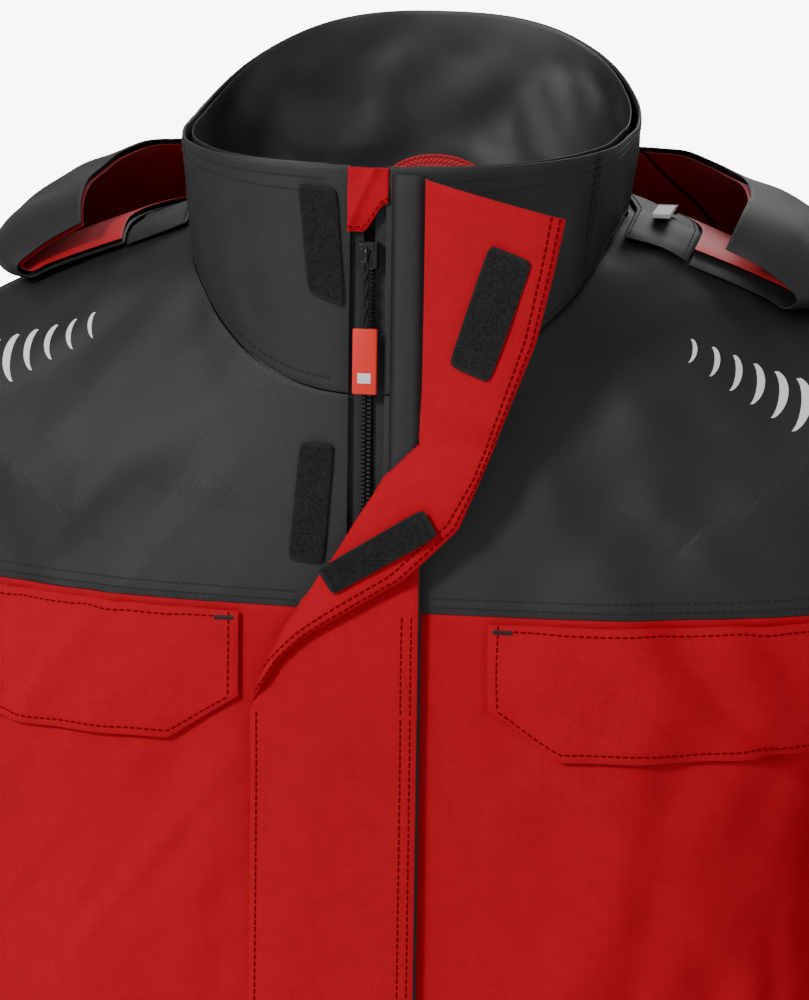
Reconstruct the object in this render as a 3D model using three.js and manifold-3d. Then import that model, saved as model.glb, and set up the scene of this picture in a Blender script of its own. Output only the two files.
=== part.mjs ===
// Foul weather jacket, millimetres, +Z up, front facing -Y, wearer's left on +X.
// It hangs as it does on its wearer: zip closed to the chin, storm flap folded open
// at the collar, hood lying back. The origin is the middle of the hang loop.
import * as THREE from "three";
import { LoftGeometry } from "three/addons/geometries/LoftGeometry.js";
import { mergeVertices } from "three/addons/utils/BufferGeometryUtils.js";
import Module from "manifold-3d";

const wasm = await Module();
wasm.setup();

// ---- driving dimensions ----
const bodyLength = 764; // back neck seam to hem
const collarHeight = 100; // at the front
const collarHalfWidth = 103;
const neckHalfWidth = 98;
const chestHalfWidth = 212; // under the arms
const hemHalfWidth = 238;
const shoulderHalfWidth = 215; // to the armhole
const frontLean = THREE.MathUtils.degToRad(4); // the front leans out towards the hem
const yokeDrop = 158; // yoke seam below the side neck
const shellThickness = 2;
const liningThickness = 1.5;
const seamGap = 0.35; // between pieces sewn edge to edge
const layerGap = 1; // between the shell and the lining
const zipOpening = 16; // between the two front edges
const zipBottomMargin = 16; // zip end above the hem
const coilWidth = 2;
const tapeThickness = 1;
const tapeDepth = 4.6; // tape behind the front face
const placketWidth = 15;
const placketHeight = 4.8;
const flapWidth = 75;
const flapThickness = 2;
const flapOpenAngle = THREE.MathUtils.degToRad(162);
const hingeHeight = 6.1; // flap hinge line in front of the front face
const hookWidth = 20;
const hookLength = 56;
const loopWidth = 17;
const loopLength = 54;
const stripThickness = 1.2;
const stripGap = 0.4;
const chestFlapWidth = 146;
const chestFlapDepth = 60;
const chestFlapInset = 56; // inner edge from the middle
const lowerFlapWidth = 138;
const lowerFlapDepth = 62;
const lowerFlapInset = 50;
const lowerPocketDrop = 500;
const pocketBagDepth = 150;
const armholeHeight = 214;
const armholeDepth = 146;
const upperArmWidth = 152;
const upperArmDepth = 132;
const cuffWidth = 98;
const sleeveStraight = 400; // below the sleeve head
const sleeveHang = THREE.MathUtils.degToRad(78); // turn of the sleeve head
const cuffLength = 52;
const loopSpan = 54;
const loopRise = 17;
const loopBand = 7;
const loopBase = -2; // feet of the loop, at the neck seam
const hoodRoll = 30; // thickness of the rolled hood on the shoulder
const hoodHang = 52; // thickness of the hood behind the back
const hoodTip = 9; // thickness where the hood runs out beside the collar

const centreY = 5; // middle of each section, front to back
const backDepth = 130; // furthest back, at the shoulder blades
const armholeTopZ = -66;
const armholeBottomZ = armholeTopZ - armholeHeight - 12;
const waistZ = -480;
const collarTopZ = collarHeight - 62;
const collarFrontY = -96;
const backNeckZ = 4;
const hemZ = backNeckZ - bodyLength;
const lean = Math.tan(frontLean);
const zipTotal = (collarTopZ - hemZ) / Math.cos(frontLean);

// ---- materials ----
function finish(color, roughness, metalness = 0) {
  return new THREE.MeshStandardMaterial({ color, roughness, metalness });
}
const black = finish(0x24262a, 0.75);
const red = finish(0xc0111c, 0.7);
const liningBlack = finish(0x17181a, 0.8);
const fuzz = finish(0x0c0c0d, 0.95);
const coilBlack = finish(0x1a1a1c, 0.5);
const zipMetal = finish(0x303236, 0.4, 0.6);
const tabRed = finish(0xd02a20, 0.55);
const tabWhite = finish(0xe8e8e6, 0.6);

// ---- body form: level rings from the collar rim down to the hem ----
// Each ring gives half width, back depth, and its heights at front, side and back.
// row 0 is the collar rim and row 1 the neck seam.
function ring(half, back, front, side, rear, square) {
  return { half, back, front, side, rear, square };
}
const levelRing = (half, back, level, square) => ring(half, back, level, level, level, square);
const rings = [
  ring(collarHalfWidth, 84, collarTopZ, collarTopZ + 2, collarTopZ + 42, 2.6),
  ring(neckHalfWidth, 76, collarTopZ - collarHeight, 0, backNeckZ, 2.3),
  ring(neckHalfWidth + 32, 91, -86, -13, -10, 2.2),
  ring(shoulderHalfWidth - 32, 110, -120, -38, -45, 2.3),
  ring(shoulderHalfWidth + 13, 124, -168, -72, -95, 2.5),
  ring(shoulderHalfWidth + 25, backDepth, -225, -160, -185, 2.7),
  ring(chestHalfWidth, backDepth, -300, armholeBottomZ, -300, 2.7),
  levelRing(chestHalfWidth + 10, 124, waistZ, 2.6),
  levelRing(hemHalfWidth, 124, hemZ, 2.6),
];
const neckRow = 1;
const hemRow = rings.length - 1;

// Smooth value of one ring size between rows.
function between(key, row) {
  const i = Math.min(Math.max(Math.floor(row), 0), hemRow - 1);
  const t = row - i;
  const at = (k) => rings[Math.min(Math.max(k, 0), hemRow)][key];
  const slope = (k) => (k === neckRow || k <= 0 || k >= hemRow ? 0 : (at(k + 1) - at(k - 1)) / 2);
  const a = at(i);
  const b = at(i + 1);
  const startSlope = i === neckRow || i === 0 ? b - a : slope(i);
  const endSlope = i + 1 === neckRow || i + 1 === hemRow ? b - a : slope(i + 1);
  const t2 = t * t;
  const t3 = t2 * t;
  const ends = a * (2 * t3 - 3 * t2 + 1) + b * (3 * t2 - 2 * t3);
  return ends + startSlope * (t3 - 2 * t2 + t) + endSlope * (t3 - t2);
}

function frontFaceY(z) {
  return collarFrontY - (collarTopZ - z) * lean;
}

// Point on the outer face; turn runs from 0 at the front, 90 at +X, 180 at the back.
function bodyPoint(turn, row) {
  const angle = THREE.MathUtils.degToRad(turn);
  const power = 2 / between("square", row);
  const sine = Math.sin(angle);
  const cosine = Math.cos(angle);
  const reach = Math.pow(Math.abs(cosine), power);
  const front = between("front", row);
  const side = between("side", row);
  const end = cosine > 0 ? front : between("rear", row);
  const depth = cosine > 0 ? frontFaceY(front) - centreY : between("back", row) - centreY;
  return new THREE.Vector3(
    Math.sign(sine) * Math.pow(Math.abs(sine), power) * between("half", row),
    centreY + depth * reach,
    side + (end - side) * Math.pow(Math.abs(cosine), 1.5),
  );
}

function bodyNormal(turn, row) {
  const stepTurn = 0.6;
  const stepRow = 0.02;
  const low = Math.max(row - stepRow, 0);
  const high = Math.min(row + stepRow, hemRow);
  const across = bodyPoint(turn + stepTurn, row).sub(bodyPoint(turn - stepTurn, row));
  const down = bodyPoint(turn, high).sub(bodyPoint(turn, low));
  return down.cross(across).normalize();
}

function bodyOffset(turn, row, out) {
  return bodyPoint(turn, row).addScaledVector(bodyNormal(turn, row), out);
}

// Turn at which a ring reaches a given distance from the middle, at the front.
function turnAtX(x, row) {
  const share = Math.min(Math.abs(x) / between("half", row), 1);
  const angle = Math.asin(Math.pow(share, between("square", row) / 2));
  return Math.sign(x) * THREE.MathUtils.radToDeg(angle);
}

// Row at which the front face passes a height, at a distance from the middle.
function rowAtHeight(x, z) {
  let low = neckRow;
  let high = hemRow;
  for (let i = 0; i < 30; i += 1) {
    const middle = (low + high) / 2;
    if (bodyPoint(turnAtX(x, middle), middle).z > z) low = middle;
    else high = middle;
  }
  return (low + high) / 2;
}

function frontPoint(x, z, out) {
  const row = rowAtHeight(x, z);
  return bodyOffset(turnAtX(x, row), row, out);
}

// ---- solids of cloth ----
// A cloth patch with turned edges: place(s, t, out) gives a point, s across and t along.
function clothPatch(place, acrossSteps, alongSteps, inner, outer) {
  const middle = (inner + outer) / 2;
  const edge = 0.012;
  const marks = [0];
  for (let i = 0; i <= alongSteps; i += 1) marks.push(edge + ((1 - 2 * edge) * i) / alongSteps);
  marks.push(1);
  const sections = marks.map((t, k) => {
    const folded = k === 0 || k === marks.length - 1;
    const loop = [];
    const face = folded ? middle : outer;
    const back = folded ? middle : inner;
    for (let i = 0; i <= acrossSteps; i += 1) loop.push(place(i / acrossSteps, t, face));
    for (let i = acrossSteps; i >= 0; i -= 1) loop.push(place(i / acrossSteps, t, back));
    return loop;
  });
  return closeUp(new LoftGeometry(sections));
}

// A cloth tube: place(s, t, out) closes on itself as s goes from 0 to 1.
function clothTube(place, aroundSteps, alongSteps, inner, outer) {
  const ring = (t, out) => {
    const loop = [];
    for (let i = 0; i < aroundSteps; i += 1) loop.push(place(i / aroundSteps, t, out));
    return loop;
  };
  const sections = [];
  for (let i = 0; i <= alongSteps; i += 1) sections.push(ring(i / alongSteps, outer));
  for (let i = alongSteps; i >= 0; i -= 1) sections.push(ring(i / alongSteps, inner));
  sections.push(sections[0]);
  return closeUp(new LoftGeometry(sections));
}

// Merges shared corners and turns the faces outwards.
function closeUp(geometry) {
  const plain = new THREE.BufferGeometry();
  plain.setAttribute("position", geometry.getAttribute("position"));
  if (geometry.index) plain.setIndex(geometry.index);
  const merged = mergeVertices(plain, 1e-3);
  const index = merged.index.array;
  const corner = [new THREE.Vector3(), new THREE.Vector3(), new THREE.Vector3()];
  let volume = 0;
  const kept = [];
  for (let i = 0; i < index.length; i += 3) {
    const triangle = [index[i], index[i + 1], index[i + 2]];
    if (new Set(triangle).size < 3) continue;
    corner.forEach((c, k) => c.fromBufferAttribute(merged.attributes.position, triangle[k]));
    volume += corner[0].dot(corner[1].clone().cross(corner[2]));
    kept.push(...triangle);
  }
  if (volume < 0) kept.reverse();
  merged.setIndex(kept);
  return merged;
}

function solid(geometry) {
  const merged = closeUp(geometry);
  const mesh = new wasm.Mesh({
    numProp: 3,
    vertProperties: new Float32Array(merged.attributes.position.array),
    triVerts: new Uint32Array(merged.index.array),
  });
  return new wasm.Manifold(mesh);
}

function geometryOf(manifold) {
  const mesh = manifold.getMesh();
  const geometry = new THREE.BufferGeometry();
  geometry.setAttribute("position", new THREE.BufferAttribute(new Float32Array(mesh.vertProperties), 3));
  geometry.setIndex(new THREE.BufferAttribute(new Uint32Array(mesh.triVerts), 1));
  return geometry;
}

// A box from its low corner to its high corner.
function block(low, high) {
  const size = high.map((value, i) => value - low[i]);
  const box = new THREE.BoxGeometry(...size);
  return box.translate(...low.map((value, i) => value + size[i] / 2));
}

// A flat piece standing upright: its outline is drawn in X and Z, its back face at the given Y.
function upright(outline, thickness, back) {
  const settings = { depth: thickness, bevelEnabled: false, curveSegments: 5 };
  const slab = new THREE.ExtrudeGeometry(outline, settings);
  return slab.rotateX(Math.PI / 2).translate(0, back, 0);
}

function cut(geometry, ...tools) {
  return geometryOf(tools.reduce((body, tool) => body.subtract(solid(tool)), solid(geometry)));
}

const far = bodyLength + hemHalfWidth; // past everything
function armholeCut() {
  return [
    block([shoulderHalfWidth, -far, armholeBottomZ], [far, far, far]),
    block([-far, -far, armholeBottomZ], [-shoulderHalfWidth, far, far]),
  ];
}

const jacket = new THREE.Group();
const frontBand = new THREE.Group(); // its Y = 0 is the front face, its Z runs up the zip
frontBand.position.set(0, collarFrontY, collarTopZ);
frontBand.rotation.x = -frontLean;
jacket.add(frontBand);

function add(name, geometry, material, parent = jacket) {
  const mesh = new THREE.Mesh(geometry, material);
  mesh.name = name;
  parent.add(mesh);
  return mesh;
}

const sides = [
  { name: "right", sign: -1 },
  { name: "left", sign: 1 },
];

// ---- shell panels and yokes ----
const frontSteps = 9;
const backSteps = 16;
const bodySteps = 13;
const frontEase = 1.35; // gathers the front lines towards the middle
const neckSeamRow = neckRow + 0.012;
const sideSeamTurn = 0.1; // half the side seam's gap, in degrees

// The front half from line number firstLine; line 0 is the zip edge and line frontSteps the side.
function frontHalf(sign, firstLine) {
  return (s, t, out) => {
    const row = THREE.MathUtils.lerp(neckSeamRow, hemRow, t);
    const line = THREE.MathUtils.lerp(firstLine, frontSteps, s) / frontSteps;
    const first = turnAtX(zipOpening / 2, row);
    const turn = sign * THREE.MathUtils.lerp(first, 90 - sideSeamTurn, Math.pow(line, frontEase));
    return bodyOffset(turn, row, out);
  };
}

function backHalf(startTurn, firstRow, lastRow) {
  return (s, t, out) => {
    const turn = THREE.MathUtils.lerp(startTurn, 360 - startTurn, s);
    return bodyOffset(turn, THREE.MathUtils.lerp(firstRow, lastRow, t), out);
  };
}

function shellPieces() {
  const seam = -yokeDrop;
  const below = block([-far, -far, -far], [far, far, seam + seamGap / 2]);
  const above = block([-far, -far, seam - seamGap / 2], [far, far, far]);
  for (const { name, sign } of sides) {
    const place = frontHalf(sign, 0);
    const whole = cut(clothPatch(place, frontSteps, bodySteps, -shellThickness, 0), ...armholeCut());
    add("front_yoke_" + name, cut(whole, below), black);
    add("front_panel_" + name, cut(whole, above), red);
  }
  const back = backHalf(90 + sideSeamTurn, neckSeamRow, hemRow);
  const whole = cut(clothPatch(back, backSteps, bodySteps, -shellThickness, 0), ...armholeCut());
  add("back_yoke", cut(whole, below), black);
  add("back_panel", cut(whole, above), red);
}

function bodyLining() {
  const outer = -shellThickness - layerGap;
  const inner = outer - liningThickness;
  const lining = [];
  for (const { name, sign } of sides) {
    const place = frontHalf(sign, 1);
    const patch = clothPatch(place, frontSteps - 1, bodySteps, inner, outer);
    lining.push(["front_lining_" + name, patch]);
  }
  const back = backHalf(90 + sideSeamTurn, neckSeamRow, hemRow);
  lining.push(["back_lining", clothPatch(back, backSteps, bodySteps, inner, outer)]);
  for (const [name, geometry] of lining) add(name, cut(geometry, ...armholeCut()), liningBlack);
}

// ---- collar ----
const collarCorner = 62; // turn of the seam between the front and back collar pieces
const collarRows = 4;

function collar() {
  const low = neckRow - 0.003;
  const seamTurn = 0.12;
  for (const { name, sign } of sides) {
    const place = (s, t, out) => {
      const row = low * t;
      const first = turnAtX(zipOpening / 2, row);
      return bodyOffset(sign * THREE.MathUtils.lerp(first, collarCorner - seamTurn, s), row, out);
    };
    add("collar_front_" + name, clothPatch(place, 7, collarRows, -shellThickness, 0), black);
  }
  const back = backHalf(collarCorner + seamTurn, 0, low);
  add("collar_back", clothPatch(back, 16, collarRows, -shellThickness, 0), black);
  const outer = -shellThickness - layerGap;
  const tapeClear = zipOpening / 2 + 11;
  const lining = (s, t, out) => {
    const row = low * t;
    const first = turnAtX(tapeClear, row);
    return bodyOffset(THREE.MathUtils.lerp(first, 360 - first, s), row, out);
  };
  add("collar_lining", clothPatch(lining, 28, collarRows, outer - liningThickness, outer), liningBlack);
}

// ---- front zip, in the front band's frame ----
const zipTop = -9;
const zipBottom = -(zipTotal - zipBottomMargin);
const sliderLength = 11;
const sliderWidth = 9;
const sliderTop = -33;
const cordLength = 34;
const cordWidth = 3;
const tabWidth = 11;
const tabLength = 29;
const tabThickness = 2;
const pullBack = -2.5; // back face of the pull, in front of the front face

function zip() {
  const coilGap = 0.35;
  const tapeStart = coilGap / 2 + coilWidth + 0.3;
  const tapeWidth = 13;
  const coilTop = sliderTop - sliderLength - 0.5;
  const boxWidth = 4.8;
  const boxHeight = 13.6;
  const coilBottom = zipBottom + boxHeight + 0.4;
  const tapeFront = tapeDepth - tapeThickness;
  for (const { name, sign } of sides) {
    const bar = (from, to, front, back, low, high) => {
      const [left, right] = [sign * from, sign * to].sort((a, b) => a - b);
      return block([left, front, low], [right, back, high]);
    };
    const coil = bar(coilGap / 2, coilGap / 2 + coilWidth, 0.6, tapeDepth, coilBottom, coilTop);
    add("zip_coil_" + name, coil, coilBlack, frontBand);
    const tape = bar(tapeStart, tapeWidth, tapeFront, tapeDepth, zipBottom, zipTop);
    add("zip_tape_" + name, tape, coilBlack, frontBand);
  }
  const box = block([-boxWidth / 2, 0.4, zipBottom], [boxWidth / 2, tapeDepth, zipBottom + boxHeight]);
  add("zip_bottom_box", box, zipMetal, frontBand);
}

// The slider is a channel that runs over the closed coil.
function zipSlider() {
  const half = sliderWidth / 2;
  const inside = coilWidth + 0.8;
  const front = -2.2;
  const plate = 0.2;
  const foot = tapeDepth - tapeThickness - 0.3;
  const section = new THREE.Shape();
  section.moveTo(-half, front);
  section.lineTo(half, front);
  section.lineTo(half, foot);
  section.lineTo(inside, foot);
  section.lineTo(inside, plate);
  section.lineTo(-inside, plate);
  section.lineTo(-inside, foot);
  section.lineTo(-half, foot);
  const slider = new THREE.ExtrudeGeometry(section, { depth: sliderLength, bevelEnabled: false });
  add("zip_slider", slider.translate(0, 0, sliderTop - sliderLength), zipMetal, frontBand);
}

function zipPull() {
  const top = sliderTop - 3;
  const cord = block([-cordWidth / 2, pullBack - 1, top - cordLength], [cordWidth / 2, pullBack, top]);
  add("zip_pull_cord", cord, fuzz, frontBand);
  const outline = new THREE.Shape();
  const half = tabWidth / 2;
  const corner = 4;
  outline.moveTo(-half, 0);
  outline.lineTo(-half, -tabLength + corner);
  outline.absarc(-half + corner, -tabLength + corner, corner, Math.PI, Math.PI * 1.5);
  outline.absarc(half - corner, -tabLength + corner, corner, Math.PI * 1.5, Math.PI * 2);
  outline.lineTo(half, 0);
  const tab = upright(outline, tabThickness, pullBack).translate(0, 0, top - cordLength - 0.35);
  add("zip_pull_tab", tab, tabRed, frontBand);
}

function zipGarage() {
  const outline = new THREE.Shape();
  outline.moveTo(-9, -1);
  outline.lineTo(9, -1);
  outline.lineTo(9, -16);
  outline.absarc(2, -17, 7, 0, -Math.PI / 2, true);
  outline.lineTo(-9, -28);
  const hood = upright(outline, 1.2, -0.4);
  add("zip_garage", hood, red, frontBand);
}

// ---- placket and storm flap, in the front band's frame ----
const placketInner = zipOpening / 2 + 2.5;
const hingeX = placketInner + placketWidth;
const foldLevel = -186; // where the folded-open part meets the closed part, at the seam
const foldSlope = 62; // how far lower the closed part starts at its free edge

function placket() {
  const box = block([placketInner, -placketHeight, zipBottom], [hingeX + 1, -0.35, -3]);
  add("zip_placket", box, black, frontBand);
}

// Flap outline: x is the distance from the hinge, y the height up the band.
function flapSlab(points, name, turn) {
  const outline = new THREE.Shape(points.map(([x, y]) => new THREE.Vector2(-x, y)));
  const slab = upright(outline, flapThickness, flapThickness / 2);
  const hinge = hingeGroup(turn);
  add(name, slab, red, hinge);
  return hinge;
}

function hingeGroup(turn) {
  const hinge = new THREE.Group();
  hinge.position.set(hingeX, -hingeHeight, 0);
  hinge.rotation.z = turn;
  frontBand.add(hinge);
  return hinge;
}

function hookStrip(name, hinge, fromHinge, top) {
  const back = flapThickness / 2 + 0.3;
  const strip = block(
    [-fromHinge - hookWidth, back, top - hookLength], [-fromHinge, back + stripThickness, top]);
  add(name, strip, fuzz, hinge);
}

function stormFlap() {
  const root = 0.6;
  const lowerTop = foldLevel - 4;
  const lowerEnd = zipBottom - 2;
  const lowerOutline = [
    [root, lowerTop],
    [flapWidth, lowerTop - foldSlope],
    [flapWidth, lowerEnd],
    [root, lowerEnd],
  ];
  const lower = flapSlab(lowerOutline, "storm_flap_lower", 0);
  const upperOutline = [
    [root, -4],
    [flapWidth - 12, -6],
    [flapWidth - 6, -14],
    [flapWidth, -95],
    [root, foldLevel],
  ];
  const upper = flapSlab(upperOutline, "storm_flap_upper", flapOpenAngle);
  hookStrip("hook_strip_collar", upper, 30, -20);
  hookStrip("hook_strip_chest", upper, 36, -80);
  hookStrip("hook_strip_waist", lower, 48, -470);
}

function loopStrips() {
  const places = [["loop_strip_collar", -8], ["loop_strip_chest", -122], ["loop_strip_waist", -472]];
  for (const [name, top] of places) {
    const inner = -zipOpening / 2 - 6;
    const strip = block(
      [inner - loopWidth, -stripGap - stripThickness, top - loopLength], [inner, -stripGap, top]);
    add(name, strip, fuzz, frontBand);
  }
}

// ---- pockets ----
// A pocket is { inset, width, depth, drop }: its place on the front below the side neck.
const chestPocket = {
  inset: chestFlapInset, width: chestFlapWidth, depth: chestFlapDepth, drop: yokeDrop + 3,
};
const lowerPocket = {
  inset: lowerFlapInset, width: lowerFlapWidth, depth: lowerFlapDepth, drop: lowerPocketDrop,
};
const flapBevel = 0.36; // how much shallower the flap is at its inner corner

function pocketPlace(sign, height) {
  return (s, t, out, { inset, width }) => {
    const point = frontPoint(inset + width * s, height(s, t), out);
    point.x *= sign;
    return point;
  };
}

function pocketFlap(name, sign, pocket, standoff) {
  const chamfer = pocket.depth * 0.55;
  const height = (s, t) => {
    const bevel = Math.max(0, 1 - (pocket.width * s) / chamfer) * flapBevel;
    return -pocket.drop - pocket.depth * (1 - bevel) * t;
  };
  const place = pocketPlace(sign, height);
  const at = (s, t, out) => place(s, t, out, pocket);
  add(name, clothPatch(at, 8, 3, standoff, standoff + 1.8), red);
}

function pocketBag(name, sign, pocket, narrower, lower) {
  const behind = -shellThickness - layerGap - liningThickness;
  const bag = { inset: pocket.inset + 8, width: pocket.width - narrower };
  const place = pocketPlace(sign, (s, t) => -pocket.drop - lower - pocketBagDepth * t);
  const at = (s, t, out) => place(s, t, out, bag);
  add(name, clothPatch(at, 6, 4, behind - 4, behind - 1.4), liningBlack);
}

function pockets() {
  for (const { name, sign } of sides) {
    pocketFlap("chest_flap_" + name, sign, chestPocket, 1.8);
    pocketFlap("lower_flap_" + name, sign, lowerPocket, 1.2);
    pocketBag("chest_pocket_bag_" + name, sign, chestPocket, 44, 27);
    pocketBag("lower_pocket_bag_" + name, sign, lowerPocket, 30, 20);
  }
}

// ---- sleeves ----
const armX = shoulderHalfWidth + 0.4;
const armPivotZ = armholeTopZ - armholeHeight;
const headShare = 0.36; // part of the sleeve's length that turns over the shoulder

// Point on the sleeve; s goes round, t from the armhole to the cuff end.
function sleevePoint(sign, s, t, out) {
  const head = Math.min(t / headShare, 1);
  const turn = sleeveHang * head;
  const run = Math.max(t - headShare, 0) / (1 - headShare);
  const ease = Math.sin((head * Math.PI) / 2);
  const width = t < headShare
    ? THREE.MathUtils.lerp(armholeHeight, upperArmWidth, ease)
    : THREE.MathUtils.lerp(upperArmWidth, cuffWidth, run);
  const depth = t < headShare
    ? THREE.MathUtils.lerp(armholeDepth, upperArmDepth, ease)
    : THREE.MathUtils.lerp(upperArmDepth, cuffWidth * 0.84, run);
  const radial = new THREE.Vector3(sign * Math.sin(turn), 0, Math.cos(turn));
  const along = new THREE.Vector3(sign * Math.cos(turn), 0, -Math.sin(turn));
  const angle = s * Math.PI * 2;
  const power = 2 / 2.3;
  const reach = Math.sign(Math.cos(angle)) * Math.pow(Math.abs(Math.cos(angle)), power);
  const swing = Math.sign(Math.sin(angle)) * Math.pow(Math.abs(Math.sin(angle)), power);
  const inner = 4;
  const centre = inner + width / 2;
  return new THREE.Vector3(sign * armX, centreY, armPivotZ)
    .addScaledVector(radial, centre + (width / 2 + out) * reach)
    .addScaledVector(along, sleeveStraight * run)
    .add(new THREE.Vector3(0, (depth / 2 + out) * swing, 0));
}

const cuffMark = 1 - (cuffLength / sleeveStraight) * (1 - headShare);
const sleeveRound = 16;

function headMarks(steps) {
  return Array.from({ length: steps + 1 }, (_, i) => (headShare * i) / steps);
}

function sleeveTube(sign, marks, inner, outer) {
  const place = (s, t, out) => sleevePoint(sign, s, marks[Math.round(t * (marks.length - 1))], out);
  return clothTube(place, sleeveRound, marks.length - 1, inner, outer);
}

function sleeves() {
  const seam = 0.0008;
  const head = headMarks(6);
  const upperMarks = [...head.slice(0, -1), headShare - seam];
  const liningOut = -shellThickness - layerGap;
  for (const { name, sign } of sides) {
    add("sleeve_upper_" + name, sleeveTube(sign, upperMarks, -shellThickness, 0), black);
    add("sleeve_lower_" + name, sleeveTube(sign, [headShare, cuffMark], -shellThickness, 0), red);
    add("cuff_" + name, sleeveTube(sign, [cuffMark + seam, 1], -shellThickness, 1.2), red);
    const lining = sleeveTube(sign, [...head, 0.97], liningOut - liningThickness, liningOut);
    add("sleeve_lining_" + name, lining, liningBlack);
    const tab = (s, t, out) => {
      const around = 0.93 - 0.16 * s;
      return sleevePoint(sign, around, THREE.MathUtils.lerp(cuffMark + 0.02, 0.985, t), out);
    };
    add("cuff_tab_" + name, clothPatch(tab, 4, 2, 2, 3.8), red);
  }
}

// ---- hood, lying back on the shoulders ----
const bandEnd = 2.0; // row of the band's outer edge
const hoodFrontTurn = 80;
const hoodSplit = 148; // turn where the shoulder wings meet the bag

function hoodBand() {
  const band = backHalf(hoodFrontTurn, neckRow + 0.1, bandEnd - 0.005);
  add("hood_band", clothPatch(band, 24, 3, 1.1, 3.5), black);
}

// Profile of the rolled hood: t runs down the inner leaf, round the bottom and up to the rim.
function hoodPoint(turn, t, out) {
  const fold = Math.abs(turn > 180 ? 360 - turn : turn);
  const share = THREE.MathUtils.smoothstep(fold, 85, 180);
  const lead = THREE.MathUtils.smoothstep(fold, hoodFrontTurn - 14, 92);
  const low = THREE.MathUtils.lerp(2.45 + 0.65 * lead, 4.9, share);
  const thick = THREE.MathUtils.lerp(hoodTip + (hoodRoll - hoodTip) * lead, hoodHang, share);
  const rim = THREE.MathUtils.lerp(bandEnd + 0.25, 2.3, share);
  const innerLeaf = (k) => bodyOffset(turn, THREE.MathUtils.lerp(bandEnd + 0.01, low, k), 3.2 + 4 * k);
  const marks = [
    ...[0, 0.2, 0.4, 0.6, 0.8].map(innerLeaf),
    bodyOffset(turn, low, 7),
    bodyOffset(turn, low + 0.02, thick * 0.75),
    bodyOffset(turn, THREE.MathUtils.lerp(rim, low, 0.5), thick),
    bodyOffset(turn, rim, thick),
  ];
  const curve = new THREE.CatmullRomCurve3(marks, false, "centripetal");
  const point = curve.getPoint(t);
  const tangent = curve.getTangent(t);
  const side = bodyOffset(turn + 0.5, low, 10).sub(bodyOffset(turn - 0.5, low, 10)).normalize();
  return point.addScaledVector(tangent.cross(side).normalize(), out);
}

function hood() {
  const wing = (first, last) => (s, t, out) => hoodPoint(THREE.MathUtils.lerp(first, last, s), t, out);
  const splitGap = 0.25;
  add("hood_side_left", clothPatch(wing(hoodFrontTurn, hoodSplit - splitGap), 7, 11, -1, 1), black);
  const farWing = wing(360 - hoodSplit + splitGap, 360 - hoodFrontTurn);
  add("hood_side_right", clothPatch(farWing, 7, 11, -1, 1), black);
  add("hood_bag", clothPatch(wing(hoodSplit, 360 - hoodSplit), 9, 11, -1, 1), black);
  add("hood_lining", clothPatch(wing(hoodSplit, 360 - hoodSplit), 9, 11, 3.8, 5.1), red);
}

const hoodZipTurn = 100;

function hoodZip() {
  const at = bodyOffset(hoodZipTurn, bandEnd - 0.45, 7.6);
  const slider = add("hood_zip_slider", new THREE.BoxGeometry(9, 6, 3.4), zipMetal);
  slider.position.copy(at);
  const pullLength = 22;
  const pull = new THREE.BoxGeometry(8, pullLength, 1.8).translate(0, -3.3 - pullLength / 2, 1.6);
  add("hood_zip_pull", pull, tabWhite).position.copy(at);
}

// ---- hang loop ----
// A webbing arch that stands off the collar lining on two feet.
function hangLoop() {
  const thickness = 1.6;
  const feet = 7;
  const outline = new THREE.Shape();
  outline.absellipse(0, 0, loopSpan / 2, loopRise, 0, Math.PI);
  outline.lineTo(-loopSpan / 2 + loopBand, 0);
  outline.absellipse(0, 0, loopSpan / 2 - loopBand, loopRise - loopBand, Math.PI, 0, true);
  const insideTurn = 163;
  const inside = bodyOffset(insideTurn, neckRow - 0.12, -shellThickness - layerGap - liningThickness);
  const back = inside.y + 2.3;
  const settings = { depth: thickness, bevelEnabled: false, curveSegments: 12 };
  const arch = new THREE.ExtrudeGeometry(outline, settings);
  arch.rotateX(Math.PI / 2).translate(0, back - feet + thickness, 0);
  let loop = solid(arch);
  for (const sign of [-1, 1]) {
    const middle = sign * (loopSpan - loopBand) / 2;
    const foot = block([middle - loopBand / 2, back - feet, -3], [middle + loopBand / 2, back, 0.6]);
    loop = loop.add(solid(foot));
  }
  add("hang_loop", geometryOf(loop).translate(0, 0, loopBase), red);
}

shellPieces();
bodyLining();
collar();
zip();
zipSlider();
zipPull();
zipGarage();
placket();
stormFlap();
loopStrips();
pockets();
sleeves();
hoodBand();
hood();
hoodZip();
hangLoop();

// The origin is the middle of the hang loop's top.
const origin = new THREE.Vector3(0, bodyOffset(180, neckRow, -13).y, loopBase + loopRise);
jacket.position.copy(origin).negate();
const part = new THREE.Group();
part.add(jacket);

export default part;
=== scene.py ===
import math

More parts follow.
